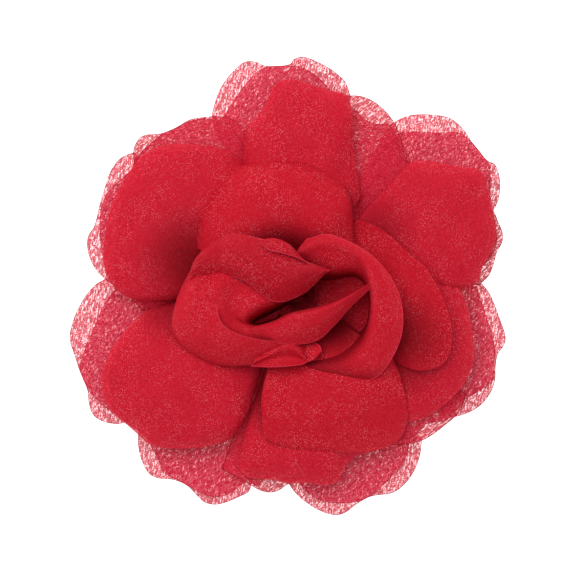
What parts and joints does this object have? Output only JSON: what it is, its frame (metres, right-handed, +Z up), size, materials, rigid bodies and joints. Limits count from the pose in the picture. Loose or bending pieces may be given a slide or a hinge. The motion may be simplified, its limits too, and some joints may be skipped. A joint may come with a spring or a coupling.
{
  "type": "flower hair clip",
  "caption": "Layered red organza flower sewn through its middle and backed with felt, glued on a sprung steel alligator hair clip.",
  "frame": {"origin": "on the clip's flat underside, straight below the flower's axis", "axes": "+Z up along the flower's axis, out of the blossom; +X along the clip, from its tip to its handles; +Y across the clip, towards the flower's top"},
  "size_m": [0.1051, 0.1091, 0.0394],
  "materials": {
    "organza": "crinkled sheer polyester organza, heat-sealed edges",
    "felt": "pressed felt, matt",
    "thread": "doubled sewing thread",
    "glue": "set hot-melt glue",
    "clip_steel": "stamped, nickel plated",
    "pin_steel": "riveted, nickel plated",
    "spring_wire": "drawn spring wire"
  },
  "bodies": {
    "flower": {"felt_backing": "felt", "clip_glue": "glue", "upper_jaw": "clip_steel", "hinge_pin": "pin_steel", "jaw_spring": "spring_wire", "binding_thread": "thread", "back_blossom_outer": "organza", "back_blossom_inner": "organza", "middle_blossom_outer": "organza", "middle_blossom_inner": "organza", "front_blossom_outer": "organza", "front_blossom_inner": "organza", "cup_petal_top": "organza", "cup_petal_bottom": "organza", "cup_petal_left": "organza", "cup_petal_right": "organza", "heart_petal_right": "organza", "heart_petal_flap": "organza", "heart_petal_fold": "organza", "heart_petal_band": "organza", "heart_core": "organza"},
    "lower_jaw": {"lower_jaw": "clip_steel"}
  },
  "joints": [
    {"name": "jaw_hinge", "type": "hinge", "parent": "flower", "child": "lower_jaw", "pos_m": [0.009, 0, 0.0038], "axis": [0, -1, 0], "range_deg": [0, 17], "stiffness_Nm_per_rad": 0.08, "springref_deg": -68.75, "deforming": ["jaw_spring"]}
  ]
}
